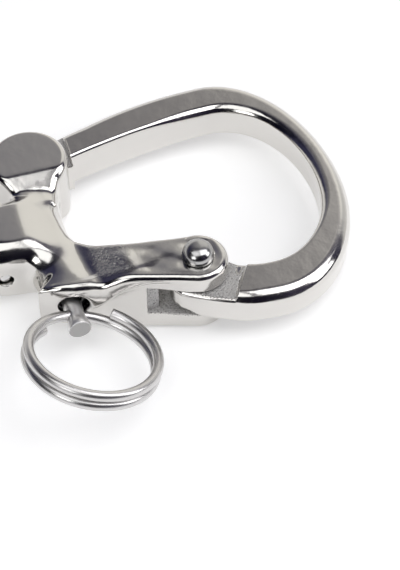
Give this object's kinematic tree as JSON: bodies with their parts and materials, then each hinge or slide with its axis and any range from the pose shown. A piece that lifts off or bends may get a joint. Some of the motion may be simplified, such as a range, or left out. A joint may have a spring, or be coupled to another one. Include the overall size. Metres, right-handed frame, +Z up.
{
  "type": "swivel snap shackle",
  "caption": "Polished steel swivel snap shackle: a hinged bow jaw latched by a sprung plunger with a split pull ring, on a body with a swivelling eye.",
  "frame": {"origin": "middle of the flat pad under the hub, where the long axis crosses it", "axes": "+X along the long axis towards the bow, +Y towards the latch (the pivot and pull ring are at -Y), +Z up from the surface it lies on"},
  "size_m": [0.0895, 0.0644, 0.0157],
  "materials": {
    "cast_steel": "cast stainless steel, tumbled and polished, with satin flats",
    "turned_steel": "turned stainless steel, bright",
    "ring_steel": "drawn stainless wire, mirror bright",
    "spring_steel": "spring wire"
  },
  "bodies": {
    "frame": {"body": "cast_steel", "pivot_rivet": "turned_steel", "plunger_bush": "turned_steel", "plunger_spring": "spring_steel", "swivel_stud": "turned_steel", "stud_lock_pin": "turned_steel", "swivel_washer": "turned_steel"},
    "jaw": {"jaw": "cast_steel"},
    "plunger": {"plunger_pin": "turned_steel"},
    "pull_ring": {"split_ring": "ring_steel"},
    "eye": {"swivel_eye": "cast_steel"}
  },
  "joints": [
    {"name": "jaw_pivot", "type": "hinge", "parent": "frame", "child": "jaw", "pos_m": [0.0284, -0.0158, 0.0066], "axis": [0, 0, -1], "range_deg": [0, 85]},
    {"name": "plunger_pull", "type": "slide", "parent": "frame", "child": "plunger", "axis": [0, -1, 0], "range_m": [-0.0007, 0.0015], "stiffness_N_per_m": 600, "springref_m": -0.012, "deforming": ["plunger_spring"]},
    {"name": "ring_swing", "type": "hinge", "parent": "plunger", "child": "pull_ring", "pos_m": [0.007, -0.017, 0.0066], "axis": [-0.9505, 0.0332, 0.309], "range_deg": [-50, 8]},
    {"name": "eye_swivel", "type": "hinge", "parent": "frame", "child": "eye", "pos_m": [-0.0105, 0, 0.0066], "axis": [1, 0, 0], "continuous": true}
  ]
}
